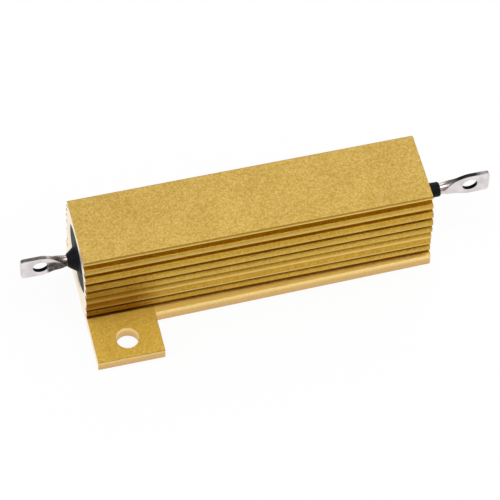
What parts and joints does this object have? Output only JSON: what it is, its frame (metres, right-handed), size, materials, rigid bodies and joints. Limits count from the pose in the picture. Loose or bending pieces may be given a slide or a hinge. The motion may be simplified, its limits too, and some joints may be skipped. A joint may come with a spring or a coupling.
{
  "type": "aluminium housed power resistor",
  "caption": "Chassis-mount power resistor: finned gold anodised aluminium housing with diagonal mounting ears and a pierced solder lug at each end.",
  "frame": {"origin": "on the mounting face, midway between the ends of the two lugs and on the centre line of the housing", "axes": "+X along the housing towards the end with the round potting sleeve, +Z away from the mounting face, +Y to the side of the ear at that same end"},
  "size_m": [0.0672, 0.0274, 0.0141],
  "materials": {
    "anodised_aluminium": "satin gold anodised",
    "potting_compound": "black silicone moulding compound, satin",
    "core_ceramic": "matte steatite",
    "resistance_wire": "drawn copper-nickel wire",
    "cap_steel": "pressed stainless steel",
    "tinned_lug": "bright tinned copper-clad steel"
  },
  "bodies": {
    "root": {"housing": "anodised_aluminium", "potting": "potting_compound", "core": "core_ceramic", "winding": "resistance_wire", "cap_left": "cap_steel", "cap_right": "cap_steel", "lug_left": "tinned_lug", "lug_right": "tinned_lug"}
  },
  "joints": []
}
